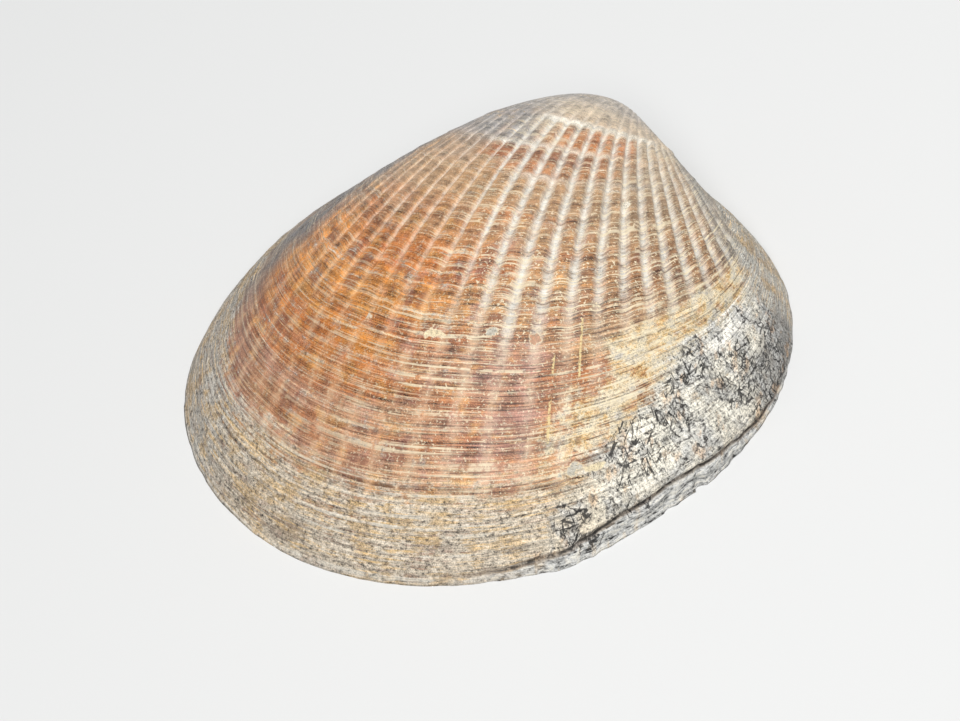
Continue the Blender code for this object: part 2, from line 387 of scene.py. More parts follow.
def undersideRows(around):
    # rings from the rim flat inwards, over notches or teeth, down into the bowl
    rows = []
    for inset in (0.35, 0.8, inside["rimFlat"]):
        rows.append(flatRim(around, inset, 0.0 * around))
    share = plateShare(around)
    wider = inside["plateWidth"] - inside["notchWidth"]
    width = inside["rimFlat"] + inside["notchWidth"] + wider * share
    outer = flatRim(around, inside["rimFlat"] + 0.25, notchShape(around, 0.0 * around))
    inner = archPoint(around, width, notchShape(around, 1.0 + 0.0 * around))
    for across in np.linspace(0.0, 1.0, 10):
        row = outer * (1.0 - across) + inner * across
        row[..., 2] = notchShape(around, across + 0.0 * around)
        rows.append(row)
    edge = archPoint(around, width + inside["plateStep"], inside["bowlEdgeZ"] + 0.0 * around)
    for shareOut in inside["bowlRows"]:
        point = bowlPoints(shareOut, edge)
        x, y = point[..., 0], point[..., 1]
        fromEdge = np.hypot(edge[..., 0], edge[..., 1]) - np.hypot(x, y)
        fromLine = fromEdge - inside["pallialInset"] + inside["notchWidth"]
        line = np.exp(-(fromLine / inside["pallialWidth"]) ** 2) * (1.0 - share)
        ripple = inside["ripple"] * patches(around, 0.0 * around + shareOut, 13, 7, 111)
        point[..., 2] += inside["scarDepth"] * scarShare(x, y) + inside["pallialDepth"] * line + ripple
        rows.append(point)
    return rows


# screen colours, 0 to 255
paint = {
    "golden": (196, 142, 86), "goldenDeep": (214, 138, 60), "gold": (214, 156, 84),
    "tanGold": (180, 144, 108), "ochre": (218, 176, 104), "ochreDeep": (168, 108, 50),
    "olive": (152, 122, 92), "orange": (184, 110, 60), "amber": (178, 96, 46), "band": (192, 114, 58),
    "beadBrown": (160, 102, 68), "redBrown": (170, 98, 60), "darkBrown": (120, 80, 62),
    "blot": (132, 80, 62), "rayPale": (222, 186, 148),
    "mauve": (168, 118, 98), "mauveMid": (192, 144, 114), "rose": (184, 134, 118),
    "umboTan": (194, 176, 153), "umboGrey": (164, 158, 152), "leftGrey": (156, 151, 147),
    "paintedLeftShade": (114, 110, 110), "shade": (156, 140, 120), "farRight": (146, 141, 133),
    "paleLine": (240, 224, 190), "white": (232, 227, 214), "grooveWhite": (222, 217, 206),
    "cream": (230, 212, 172), "creamRight": (226, 212, 180),
    "crustLeft": (176, 170, 160), "crustMid": (194, 181, 162), "crustRight": (214, 201, 178),
    "farCrust": (186, 183, 174), "crustGold": (198, 162, 104), "crustRose": (178, 140, 122),
    "chalk": (226, 220, 205), "brightChalk": (248, 244, 234), "darkChalk": (132, 129, 125),
    "chalkGrey": (192, 191, 187), "stain": (142, 118, 88), "grooveShadeBrown": (112, 92, 76),
    "chipYellow": (232, 208, 150), "chipGrey": (172, 172, 164), "chipRed": (176, 112, 80),
    "porcelain": (238, 234, 226), "warm": (205, 184, 158), "insideBrown": (126, 98, 74),
}


def linear(rgb):
    # screen colour, 0 to 255, to linear light
    c = np.array(rgb, float) / 255.0
    return np.where(c <= 0.04045, c / 12.92, ((c + 0.055) / 1.055) ** 2.4)


# washes on the ribs, from first to last: colour, angle from and to, growth from and to,
# softness in angle and in growth, strength
washes = (
    ("golden", -180, 180, 0.30, 0.95, 10, 0.02, 1.0),
    ("leftGrey", -180, 10, 0.0, 0.455, 8, 0.02, 0.9),
    ("leftGrey", -180, -18, 0.0, 0.58, 12, 0.05, 0.6),
    # painted shade: the left side made darker grey, as if turned away from the light
    ("paintedLeftShade", -136, -53, 0.24, 0.87, 14, 0.08, 0.85),
    ("shade", 60, 180, 0.28, 0.52, 10, 0.03, 0.6),
    ("umboTan", 0, 180, 0.0, 0.36, 12, 0.02, 0.8),
    ("umboTan", 45, 180, 0.0, 0.80, 14, 0.05, 0.45),
    ("umboGrey", -40, 180, 0.0, 0.25, 12, 0.04, 0.8),
    ("goldenDeep", -62, 6, 0.60, 0.80, 10, 0.04, 0.85),
    ("tanGold", -62, 24, 0.40, 0.590, 10, 0.03, 0.8),
    ("orange", 14, 60, 0.335, 0.392, 5, 0.006, 0.7),
    ("beadBrown", -14, 46, 0.402, 0.434, 9, 0.006, 0.85),
    ("darkBrown", 18, 64, 0.404, 0.430, 7, 0.006, 0.35),
    ("orange", 0, 50, 0.434, 0.463, 8, 0.006, 0.6),
    ("orange", -50, 18, 0.530, 0.590, 10, 0.02, 0.35),
    ("white", 0, 75, 0.316, 0.330, 9, 0.004, 0.7),
    ("white", -14, 50, 0.391, 0.400, 9, 0.003, 0.6),
    ("white", 10, 80, 0.461, 0.470, 9, 0.003, 0.55),
    ("olive", 22, 98, 0.440, 0.600, 10, 0.03, 0.6),
    ("amber", -40, 24, 0.595, 0.665, 10, 0.015, 0.55),
    ("darkBrown", 54, 80, 0.610, 0.690, 6, 0.02, 0.5),
    ("mauve", -5, 40, 0.720, 0.790, 8, 0.02, 0.55),
    ("amber", -62, -18, 0.748, 0.772, 8, 0.006, 0.65),
    ("amber", -62, -18, 0.792, 0.812, 8, 0.006, 0.65),
    ("mauve", -66, -12, 0.820, 0.915, 8, 0.012, 0.65),
    ("mauveMid", -14, 34, 0.800, 0.915, 8, 0.02, 0.75),
    ("mauve", 16, 36, 0.750, 0.890, 7, 0.02, 0.7),
    ("amber", 36, 58, 0.770, 0.850, 6, 0.014, 0.6),
    ("ochreDeep", 40, 100, 0.580, 0.720, 8, 0.03, 0.45),
    ("farRight", 98, 180, 0.30, 0.78, 10, 0.08, 0.85),
)

# single brown marks on ribs: colour, angle, growth, half width, half length, strength
marks = (
    ("redBrown", -32, 0.640, 2.6, 0.012, 0.8), ("redBrown", -24, 0.625, 2.6, 0.012, 0.7),
    ("redBrown", -15, 0.640, 2.6, 0.014, 0.8), ("redBrown", -1, 0.625, 2.4, 0.014, 0.7),
    ("redBrown", 6, 0.642, 2.4, 0.014, 0.7), ("redBrown", 13, 0.640, 2.2, 0.016, 0.8),
    ("redBrown", 20, 0.638, 2.2, 0.016, 0.8), ("darkBrown", 60, 0.620, 2.2, 0.016, 0.7),
    ("darkBrown", 67, 0.650, 2.2, 0.018, 0.7), ("darkBrown", 74, 0.682, 2.2, 0.022, 0.7),
    ("darkBrown", -15, 0.775, 2.4, 0.010, 0.6), ("darkBrown", -1, 0.742, 2.2, 0.012, 0.6),
    ("darkBrown", -8, 0.740, 2.2, 0.010, 0.5), ("darkBrown", 13, 0.745, 2.2, 0.012, 0.6),
    ("darkBrown", 20, 0.780, 2.2, 0.012, 0.6), ("darkBrown", 14, 0.835, 2.6, 0.008, 0.5),
    ("darkBrown", -31, 0.765, 2.4, 0.008, 0.6), ("darkBrown", 31, 0.733, 1.8, 0.004, 0.6),
)

# where black marks lie on the right: angle from and to, growth from and to, strength
blackZones = (
    (37, 46, 0.945, 0.970, 0.9), (50, 65, 0.860, 0.945, 0.9), (63, 72, 0.865, 0.910, 0.9),
    (63, 78, 0.795, 0.865, 0.8), (78, 97, 0.845, 0.950, 0.9), (86, 109, 0.890, 0.992, 0.95),
    (40, 60, 0.962, 0.995, 0.6), (95, 110, 0.80, 0.90, 0.35), (40, 56, 0.855, 0.885, 0.4),
)


def painted(tone, name, share):
    # the tone, moved by share towards a colour of paint
    return tone + (linear(paint[name]) - tone) * share[..., None]


def toneColours(around, growth):
    # start from the umbo's tan, lay the washes over it one by one, each a little uneven, then the marks
    tone = np.ones(around.shape + (3,)) * linear(paint["umboTan"])
    for index, (name, a0, a1, g0, g1, softA, softG, strength) in enumerate(washes):
        ragged = 1.0 + 0.35 * cloudy(around, growth, 47, 30, 200 + 3 * index, 2)
        share = box(around, growth, a0, a1, g0, g1, softA, softG) * strength * ragged
        tone = painted(tone, name, np.clip(share, 0.0, 1.0))
    for name, a, g, halfA, halfG, strength in marks:
        near = np.hypot((signed(around) - a) / halfA, (growth - g) / halfG)
        tone = painted(tone, name, strength * (1.0 - smoothStep(0.55, 1.15, near)))
    return tone


def crustColours(around, growth):
    # beige in the middle, greyer on the left, paler on the right, grey on the far right; over them the
    # chalk with a bright and a dark stretch, and one brown stain
    a = signed(around)
    stain = np.hypot((a + 15.0) / 5.0, (growth - 0.975) / 0.012)
    layers = (
        ("crustLeft", 1.0 - smoothStep(-52.0, -28.0, a)),
        ("crustRight", smoothStep(22.0, 50.0, a)),
        ("farCrust", smoothStep(92.0, 108.0, a)),
        ("chalk", box(around, growth, 48, 102, 0.76, 0.97, 8.0, 0.03)),
        ("brightChalk", 0.8 * box(around, growth, 80, 98, 0.77, 0.85, 5.0, 0.015)),
        ("darkChalk", 0.8 * box(around, growth, 92, 116, 0.905, 1.02, 8.0, 0.02)),
        ("stain", 0.6 * (1.0 - smoothStep(0.4, 1.2, stain))),
    )
    colour = linear(paint["crustMid"]) + np.zeros(around.shape + (3,))
    for name, share in layers:
        colour = painted(colour, name, share)
    return colour


def grooveWhiteShare(around, growth):
    # how white the grooves are: strong on the right at mid height, weak on the left
    a = signed(around) + 70.0 * np.clip(0.60 - growth, 0.0, 0.25)
    right = plateau(0.0, 20.0, 108.0, 125.0, a)
    reach = 0.66 + 0.05 * bump(around, 27.0, 8.0) + 0.03 * smoothStep(50.0, 80.0, a)
    high = smoothStep(0.27, 0.34, growth) * (1.0 - 0.85 * smoothStep(reach - 0.02, reach + 0.08, growth))
    left = 0.45 * smoothStep(-75.0, -40.0, a)
    left = left * plateau(0.3, 0.4, 0.56, 0.68, growth)
    return np.clip(right * high + left, 0.0, 1.0)


def paleLineShare(around, growth):
    # how strong the pale growth lines are: most on the right half, below mid height
    a = signed(around)
    right = plateau(-20.0, 15.0, 100.0, 120.0, a)
    return (0.36 + 0.52 * right) * (0.55 + 0.45 * smoothStep(0.4, 0.7, growth))


def bandShare(around, growth):
    # where the broad deeper bands show
    a = signed(around)
    middle = plateau(-72.0, -50.0, 28.0, 60.0, a)
    return 0.75 * smoothStep(0.45, 0.60, growth) * middle


def beyondLipShare(around, growth):
    # the lip, from its groove to the rim, on the right
    right = plateau(18.0, 40.0, 96.0, 112.0, signed(around))
    return smoothStep(0.0, 0.004, growth - lipStage(around)) * (0.25 + 0.75 * right)


def lipGrooveShare(around, growth):
    # the dark line of painted shade in the groove above the lip
    right = plateau(10.0, 36.0, 92.0, 104.0, signed(around))
    return right * np.exp(-((growth - lipStage(around)) / 0.0028) ** 2)


def blackShare(around, growth):
    # the strongest of the black zones, made uneven
    total = 0.0
    for a0, a1, g0, g1, strength in blackZones:
        total = np.maximum(total, strength * box(around, growth, a0, a1, g0, g1, 2.5, 0.012))
    return np.clip(total + 0.25 * cloudy(around, growth, 70, 50, 301) * (total > 0.05), 0.0, 1.0)


# one value of each for every point of the outside
masks = {
    "crust": crustMask, "chalk": chalkMask, "cream": creamMask, "black": blackShare,
    "grooveWhite": grooveWhiteShare, "grooveWide": grooveWide, "paleLines": paleLineShare,
    "bandShare": bandShare, "beyondLip": beyondLipShare, "lipGroove": lipGrooveShare,
}

grid = {
    "growthStops": (0.07, 0.30, 0.60, 0.94, 1.0),
    "growthRows": (15, 46, 53, 26),
}


def growthRows():
    # evenly spaced between each two stops, closer together where more detail shows
    parts = []
    stops = grid["growthStops"]
    for low, high, count in zip(stops, stops[1:], grid["growthRows"]):
        parts.append(np.linspace(low, high, count, endpoint=False))
    return np.concatenate(parts + [np.array([stops[-1]])])


def addFloats(mesh, name, values):
    layer = mesh.attributes.new(name, "FLOAT", "POINT")
    layer.data.foreach_set("value", values.astype(np.float32).ravel())


def addColours(mesh, name, values):
    layer = mesh.attributes.new(name, "FLOAT_COLOR", "POINT")
    rgba = np.ones((values.reshape(-1, 3).shape[0], 4), np.float32)
    rgba[:, :3] = values.reshape(-1, 3)
    layer.data.foreach_set("color", rgba.ravel())


def makeValve():
    # the outside's rows from the beak to the rim, then the underside's rows; one fan closes each end
    columns = (np.arange(ribs["count"])[:, None] + np.array(ribs["columns"])[None, :]).ravel()
    aroundLine = ribs["offset"] + ribAngle * columns
    growthLine = growthRows()
    count = len(aroundLine)
    around, growth = np.meshgrid(aroundLine, growthLine)
    upper = outsidePoints(around, growth)
    lower = np.stack(undersideRows(aroundLine))
    rings = np.concatenate([upper, lower])
    rowCount = len(rings)

    tip = upper[0].mean(axis=0)
    crown = lower[-1].mean(axis=0)
    crown[2] = lower[-1][:, 2].mean() + 0.02
    points = np.concatenate([rings.reshape(-1, 3), [tip, crown]])
    points -= np.array([form["middleX"], form["middleY"], 0.0])
    points[:, 2] = np.maximum(points[:, 2], 0.0)

    index = np.arange(rowCount * count).reshape(rowCount, count)
    after = np.roll(index, -1, axis=1)
    quads = np.stack([index[:-1], after[:-1], after[1:], index[1:]], -1).reshape(-1, 4)[:, ::-1]
    tipFan = np.stack([after[0], index[0], np.full(count, rowCount * count)], -1)[:, ::-1]
    crownFan = np.stack([index[-1], after[-1], np.full(count, rowCount * count + 1)], -1)[:, ::-1]

    mesh = bpy.data.meshes.new("shellValve")
    loops = np.concatenate([quads.ravel(), tipFan.ravel(), crownFan.ravel()])
    sizes = np.concatenate([np.full(len(quads), 4), np.full(2 * count, 3)])
    starts = np.concatenate([[0], np.cumsum(sizes)[:-1]])
    mesh.vertices.add(len(points))
    mesh.vertices.foreach_set("co", (points * 0.001).astype(np.float32).ravel())
    mesh.loops.add(len(loops))
    mesh.loops.foreach_set("vertex_index", loops.astype(np.int32))
    mesh.polygons.add(len(sizes))
    mesh.polygons.foreach_set("loop_start", starts.astype(np.int32))
    mesh.update(calc_edges=True)
    mesh.validate()
    mesh.shade_smooth()

    # the growth map: u around the valve, v growth outside and 1 to 2 on the underside
    v = np.concatenate([growthLine, np.linspace(1.02, 2.0, len(lower))])
    uTable = np.concatenate([(aroundLine - aroundLine[0]) / 360.0, [1.0]])
    column = np.arange(count)
    row = np.arange(rowCount - 1)
    shape = (rowCount - 1, count, 4)
    cornerU = np.broadcast_to(np.stack([column, column + 1, column + 1, column], -1), shape)
    cornerV = np.broadcast_to(np.stack([row, row, row + 1, row + 1], -1)[:, None, :], shape)
    quadUv = np.stack([uTable[cornerU], v[cornerV]], -1).reshape(-1, 4, 2)[:, ::-1].reshape(-1, 2)
    middleU = 0.5 * (uTable[:-1] + uTable[1:])

    def fanUv(first, second, height):
        across = np.stack([first, second, middleU], -1)
        return np.stack([across, np.full((count, 3), height)], -1)[:, ::-1].reshape(-1, 2)

    tipUv = fanUv(uTable[1:], uTable[:-1], v[0])
    crownUv = fanUv(uTable[:-1], uTable[1:], v[-1])
    layer = mesh.uv_layers.new(name="growthMap")
    layer.data.foreach_set("uv", np.concatenate([quadUv, tipUv, crownUv]).astype(np.float32).ravel())

    # masks and washes, one value for each point; the underside takes plain ones
    fill = rowCount * count - upper.shape[0] * count + 2

    def whole(values, rest=0.0):
        tail = np.full((fill,) + values.shape[2:], rest)
        return np.concatenate([values.reshape((-1,) + values.shape[2:]), tail])

    addColours(mesh, "tone", whole(toneColours(around, growth), 0.6))
    addColours(mesh, "crustTone", whole(crustColours(around, growth), 0.6))
    for name, mask in masks.items():
        addFloats(mesh, name, whole(mask(around, growth)))
    scar = scarShare(rings[..., 0].ravel(), rings[..., 1].ravel())
    addFloats(mesh, "scar", np.concatenate([scar, [0.0, 0.0]]))

    # faces of the underside take the second material
    insideFace = np.zeros(len(sizes), np.int32)
    insideFace[(upper.shape[0] + 2) * count:len(quads)] = 1
    insideFace[len(quads) + count:] = 1
    return mesh, insideFace


class Wire:
    # a socket in a node tree; + - * / and the rest add Math nodes
    def __init__(self, tree, socket=None):
        self.tree = tree
        self.socket = socket

    def make(self, kind, settings=None, values=None, out=0):
        # any node: its settings come first, then values or links for its sockets
        node = self.tree.nodes.new(kind)
        for name, value in (settings or {}).items():
            setattr(node, name, value)
        for name, value in (values or {}).items():
            if isinstance(value, Wire):
                self.tree.links.new(value.socket, node.inputs[name])
            else:
                node.inputs[name].default_value = value
        return Wire(self.tree, node.outputs[out])

    def math(self, operation, *terms, clamp=False):
        settings = {"operation": operation, "use_clamp": clamp}
        return self.make("ShaderNodeMath", settings, dict(enumerate(terms)))

    def __add__(self, other):
        return self.math("ADD", self, other)

    def __sub__(self, other):
        return self.math("SUBTRACT", self, other)

    def __mul__(self, other):
        return self.math("MULTIPLY", self, other)

    def __truediv__(self, other):
        return self.math("DIVIDE", self, other)

    def __rsub__(self, other):
        return self.math("SUBTRACT", other, self)

    def __pow__(self, other):
        return self.math("POWER", self, other)

    def __abs__(self):
        return self.math("ABSOLUTE", self)

    __radd__ = __add__
    __rmul__ = __mul__

    def clamped(self):
        return self.math("ADD", self, 0.0, clamp=True)

    def between(self, low, high):
        # 0 at low, 1 at high, an S curve between
        return self.make("ShaderNodeMapRange", {"interpolation_type": "SMOOTHSTEP"},
                         {"Value": self, "From Min": low, "From Max": high})

    def below(self, low, high):
        # 1 at low, 0 at high
        return 1.0 - self.between(low, high)

    def mixed(self, other, share):
        # this colour, changed by share to the other: a wire, a linear rgba or a name in paint
        if isinstance(other, str):
            other = colourOf(other)
        settings = {"data_type": "RGBA", "clamp_factor": True}
        return self.make("ShaderNodeMix", settings, {0: share, 6: self, 7: other}, 2)

    def scaled(self, share):
        # this colour made lighter or darker
        return self.make("ShaderNodeVectorMath", {"operation": "SCALE"}, {0: self, "Scale": share})

    def plain(self, name):
        # one colour of paint as a wire
        node = self.make("ShaderNodeRGB")
        node.socket.default_value = colourOf(name)
        return node

    def attribute(self, name, out="Fac"):
        return self.make("ShaderNodeAttribute", {"attribute_name": name}, None, out)

    def part(self, index):
        # x, y or z of this vector
        return self.make("ShaderNodeSeparateXYZ", None, {0: self}, index)

    def joined(self, x, y, z):
        # a vector of three wires or numbers
        return self.make("ShaderNodeCombineXYZ", None, {0: x, 1: y, 2: z})

    def noise(self, fineness, detail, roughness=0.5, bend=0.0):
        # noise read at this place
        return self.make("ShaderNodeTexNoise", None, {"Vector": self, "Scale": fineness, "Detail": detail,
                                                      "Roughness": roughness, "Distortion": bend})


def colourOf(name, strength=1.0):
    # a colour of paint as a linear rgba, darker where strength is below 1
    return tuple(float(c) * strength for c in linear(paint[name])) + (1.0,)


def mottled(shell, base, **noises):
    # base plus each named noise of the shell, taken about its middle and times its strength
    for name, strength in noises.items():
        base = base + (getattr(shell, name) - 0.5) * strength
    return base


def newMaterial(name):
    material = bpy.data.materials.new(name)
    material.use_nodes = True
    tree = material.node_tree
    shader = tree.nodes["Principled BSDF"]
    return material, Wire(tree), shader


def plug(wire, shader, name):
    wire.tree.links.new(wire.socket, shader.inputs[name])


outsideLook = {
    # drawn-out noises: fineness around the valve, fineness along the growth, detail, roughness, shift
    "noises": {
        "lines": (1.7, 260.0, 4.0, 0.72, 11.0), "hair": (3.2, 520.0, 2.0, 0.6, 17.0),
        "ledges": (1.3, 200.0, 1.0, 0.5, 5.0), "threads": (2.4, 390.0, 1.0, 0.5, 8.0),
        "bands": (1.4, 30.0, 3.0, 0.6, 51.0), "broken": (16.0, 60.0, 3.0, 0.65, 71.0),
        "rows": (7.0, 95.0, 2.0, 0.55, 27.0), "blotch": (18.0, 30.0, 3.0, 0.6, 41.0),
        "spread": (9.0, 44.0, 3.0, 0.6, 91.0), "rays": (30.0, 20.0, 2.0, 0.5, 33.0),
        "patch": (11.0, 46.0, 4.0, 0.7, 23.0), "grooveEdge": (40.0, 110.0, 3.0, 0.65, 3.0),
        "streak": (5.0, 330.0, 3.0, 0.7, 61.0), "scale": (60.0, 330.0, 2.0, 0.6, 67.0),
        "splinter": (26.0, 300.0, 3.0, 0.65, 83.0),
    },
    # even grain: fineness, detail
    "grains": {
        "fine": (8000.0, 2.0), "sand": (3400.0, 2.0), "medium": (1300.0, 3.0), "coarse": (380.0, 3.0),
        "pits": (1500.0, 3.0), "bend": (700.0, 2.0),
    },
    "grainRoughness": 0.6,
    "plateFineness": 560.0, "plateBend": 0.0018,
    # bumps, in mm
    "lineDepth": 0.10, "hairDepth": 0.06, "ledgeStep": 0.05, "threadStep": 0.03, "rowDepth": 0.20,
    "grainDepth": 0.03, "crustDepth": 0.20, "markDepth": 0.05,
    "plateStep": 0.07, "crackDepth": 0.10, "sandDepth": 0.10, "splinterDepth": 0.30,
    "roughness": 0.45, "crustRoughness": 0.85,
    "black": (0.020, 0.019, 0.018, 1.0), "crack": (0.045, 0.040, 0.036, 1.0),
    "creamStrength": 0.92, "blackStrength": 0.92,
    # brown blots: shift from rib to rib, fineness down and across a rib
    "blotShift": 7.31, "blotDown": 24.0, "blotAcross": 1.2,
    # roughly, in mm: one degree around the valve, and the way from the beak to the rim
    "degreeLength": 0.54, "growthLength": 44.0,
    # black strokes: fineness along and across them, how much they bend, direction and seed of each set
    "strokeAlong": 0.70, "strokeAcross": 2.5, "strokeBend": 1.4,
    "strokeSets": ((4.0, 1.7), (52.0, 5.1), (-38.0, 9.4)),
    # angle, growth, half sizes, colour
    "chips": ((20.5, 0.722, 1.8, 0.0050, "chipGrey"), (31.5, 0.728, 1.3, 0.007, "chipRed"),
              (41.5, 0.902, 2.2, 0.0055, "chipGrey"), (46.0, 0.906, 2.2, 0.0040, "cream"),
              (6.0, 0.728, 2.4, 0.0050, "cream"), (-19.0, 0.727, 5.0, 0.0035, "grooveWhite"),
              (56.0, 0.505, 1.6, 0.0090, "white")),
    # angle, growth from and to
    "scratches": ((36.6, 0.806, 0.866), (36.6, 0.752, 0.784), (43.0, 0.705, 0.790)),
}


def outsideWires(tree):
    # what the outside's colours share: places on the valve, masks and noises
    uv = tree.make("ShaderNodeUVMap", {"uv_map": "growthMap"})
    shell = SimpleNamespace(tree=tree, growth=uv.part(1))
    shell.position = tree.make("ShaderNodeTexCoord", None, None, "Object")
    shell.around = uv.part(0) * 360.0 + ribs["offset"]
    shell.ribPlace = uv.part(0) * float(ribs["count"])
    shell.offset = abs(shell.ribPlace - shell.ribPlace.math("ROUND", shell.ribPlace))
    shell.old = shell.growth.between(0.40, 0.72)
    shell.young = shell.growth.below(0.60, 0.84)

    for name in masks:
        setattr(shell, name, tree.attribute(name))
    shell.tone = tree.attribute("tone", "Color")
    shell.crustTone = tree.attribute("crustTone", "Color")

    # the drawn-out noises are read on a circle, so they close around the valve
    turn = uv.part(0) * (2.0 * math.pi)
    cosine = turn.math("COSINE", turn)
    sine = turn.math("SINE", turn)
    for name, (fineAround, fineDown, detail, roughness, shift) in outsideLook["noises"].items():
        spot = tree.joined(cosine * fineAround, sine * fineAround, shell.growth * fineDown + shift)
        setattr(shell, name, spot.noise(1.0, detail, roughness))
    for name, (fineness, detail) in outsideLook["grains"].items():
        setattr(shell, name, shell.position.noise(fineness, detail, outsideLook["grainRoughness"]))

    # pale lines, part real and part painted lit edge, where a drawn-out noise is high; painted shadow where
    # it is low
    shell.paleLine = shell.ledges.between(0.60, 0.68) * shell.broken.between(0.36, 0.52)
    shell.paleHair = shell.threads.between(0.57, 0.67) * shell.broken.between(0.38, 0.54)
    unbroken = shell.broken.below(0.46, 0.60)
    ledgeShadow = shell.ledges.below(0.31, 0.39) * unbroken
    threadShadow = shell.threads.below(0.34, 0.42) * unbroken
    shell.darkLine = (ledgeShadow * 0.8 + threadShadow * 0.7).clamped()

    # ragged edges of the cream, the crust and the chalk
    cream = mottled(shell, shell.cream, medium=1.1, broken=1.1, lines=1.0)
    shell.creamEdge = cream.between(0.30, 0.72)
    crust = mottled(shell, shell.crust, lines=2.6, streak=1.8, medium=1.2)
    shell.crustEdge = crust.between(0.14, 0.86)
    chalk = mottled(shell, shell.chalk, medium=1.3, coarse=1.2, lines=1.6)
    shell.chalkEdge = chalk.between(0.12, 0.88)

    # plates in the chalk, each a little lighter or darker, with cracks between some of them; the cracks
    # take painted shadow
    bent = tree.make("ShaderNodeVectorMath", {"operation": "ADD"},
                     {0: shell.position, 1: shell.bend.scaled(outsideLook["plateBend"])})
    plates = {"Vector": bent, "Scale": outsideLook["plateFineness"]}
    shell.plateLight = tree.make("ShaderNodeTexVoronoi", None, plates, 1).part(0)
    gap = tree.make("ShaderNodeTexVoronoi", {"feature": "DISTANCE_TO_EDGE"}, plates)
    shell.cracks = gap.below(0.015, 0.07) * shell.coarse.between(0.44, 0.56)
    shell.cracks = shell.cracks * shell.medium.between(0.40, 0.56)
    return shell


def shadeRibs(shell):
    # broad bands of deeper orange, blotches, growth lines, bead rows and grain
    colour = shell.tone.mixed("band", shell.bands.between(0.50, 0.66) * shell.bandShare)
    deep = mottled(shell, 1.08 - shell.old * 0.14, blotch=1.3, bands=-0.7, fine=1.8)
    deep = deep + (shell.rows - 0.5) * shell.young * 1.5
    lined = shell.old * (shell.paleLines + 0.22) + 0.26
    deep = deep + mottled(shell, 0.0, lines=1.9, hair=1.6) * lined
    deep = deep - (shell.offset.between(0.04, 0.36) - 0.6) * (0.14 + shell.young * 0.14)
    colour = colour.scaled(deep)

    # golden and rose patches, then brown blots, each kept to one rib
    golden = shell.spread.between(0.54, 0.66) * shell.bandShare * 0.7
    colour = colour.mixed(shell.tree.plain("gold").scaled(deep), golden)
    rosy = shell.spread.below(0.36, 0.46) * shell.bandShare * shell.old * shell.paleLines
    colour = colour.mixed(shell.tree.plain("rose").scaled(deep), rosy)
    ribNumber = shell.ribPlace.math("FLOOR", shell.ribPlace)
    look = outsideLook
    spot = shell.tree.joined(ribNumber * look["blotShift"], shell.growth * look["blotDown"],
                             shell.offset * look["blotAcross"])
    blots = mottled(shell, spot.noise(1.0, 2.0), medium=0.2).between(0.54, 0.68)
    blots = blots * shell.offset.between(0.02, 0.26) * shell.bandShare * shell.growth.between(0.57, 0.64)
    colour = colour.mixed("blot", (blots * (0.35 + shell.lines * 0.9)).clamped())

    # soft pale rays run on below the grooves
    ray = mottled(shell, shell.offset, rays=0.3).below(0.02, 0.30) * shell.bandShare
    return colour.mixed("rayPale", ray * shell.broken.between(0.36, 0.60) * 0.55)


def shadeCream(shell):
    # cream with golden, brown and grey spots in it
    colour = shell.tree.plain("creamRight").mixed("ochre", shell.patch.between(0.46, 0.58) * 0.8)
    colour = colour.mixed("ochreDeep", shell.patch.between(0.56, 0.66) * 0.8)
    colour = colour.mixed("chalkGrey", shell.patch.below(0.34, 0.44) * 0.7)
    colour = colour.scaled(mottled(shell, 1.0, fine=2.2, sand=1.5, lines=1.5, hair=1.0))
    return colour.mixed(outsideLook["crack"], shell.medium.below(0.28, 0.36) * 0.6)


def shadeGrooves(shell, colour):
    # grooves: ragged, whitish, crossed by the rows
    edge = mottled(shell, shell.offset, grooveEdge=0.24)
    groove = (edge / (shell.grooveWide * 1.6)).below(0.10, 1.0)
    groove = groove * (shell.broken.between(0.30, 0.56) * 0.5 + 0.5)
    light = mottled(shell, 0.96, fine=0.9, rows=0.9, hair=0.6, medium=0.7)
    colour = colour.mixed(shell.tree.plain("grooveWhite").scaled(light), groove * shell.grooveWhite)

    # pale lines with painted lit edges, pale flecks, and dark lines of painted shadow
    pale = (shell.paleLine + shell.paleHair * 0.8).clamped() * shell.paleLines
    colour = colour.mixed("paleLine", pale)
    fleck = shell.sand.between(0.59, 0.66) + shell.fine.between(0.64, 0.72) * 0.6
    fleck = fleck * (shell.old * shell.paleLines * 0.8 + shell.grooveWhite * 0.45)
    colour = colour.mixed("paleLine", fleck.clamped())
    dark = shell.darkLine * (0.24 + shell.old * 0.50) * (shell.paleLines + 0.10)
    return colour.mixed(colourOf("darkBrown", 0.4), dark)


def shadeCrust(shell):
    # crust: stained, golden and rosy in streaks, grainy, with pale scales, dark gaps and painted shadow
    # lines
    colour = shell.crustTone.mixed("stain", shell.coarse.between(0.48, 0.66) * 0.40)
    colour = colour.mixed("crustGold", (shell.coarse + shell.streak - 1.0).between(-0.02, 0.12) * 0.45)
    golden = shell.streak.between(0.52, 0.62) * shell.broken.between(0.42, 0.58)
    colour = colour.mixed("crustGold", golden * 0.55)
    rosy = shell.streak.below(0.36, 0.48) * shell.blotch.between(0.45, 0.6)
    colour = colour.mixed("crustRose", rosy * 0.4)
    colour = colour.scaled(mottled(shell, 1.04, fine=2.8, scale=2.4, lines=1.7, streak=1.6))
    pale = shell.paleLine * 0.45 + shell.scale.between(0.60, 0.70) * 0.5
    colour = colour.mixed("white", pale.clamped())
    dark = shell.scale.below(0.30, 0.40) * 0.55 + shell.darkLine * 0.45
    return colour.mixed(outsideLook["crack"], dark.clamped())


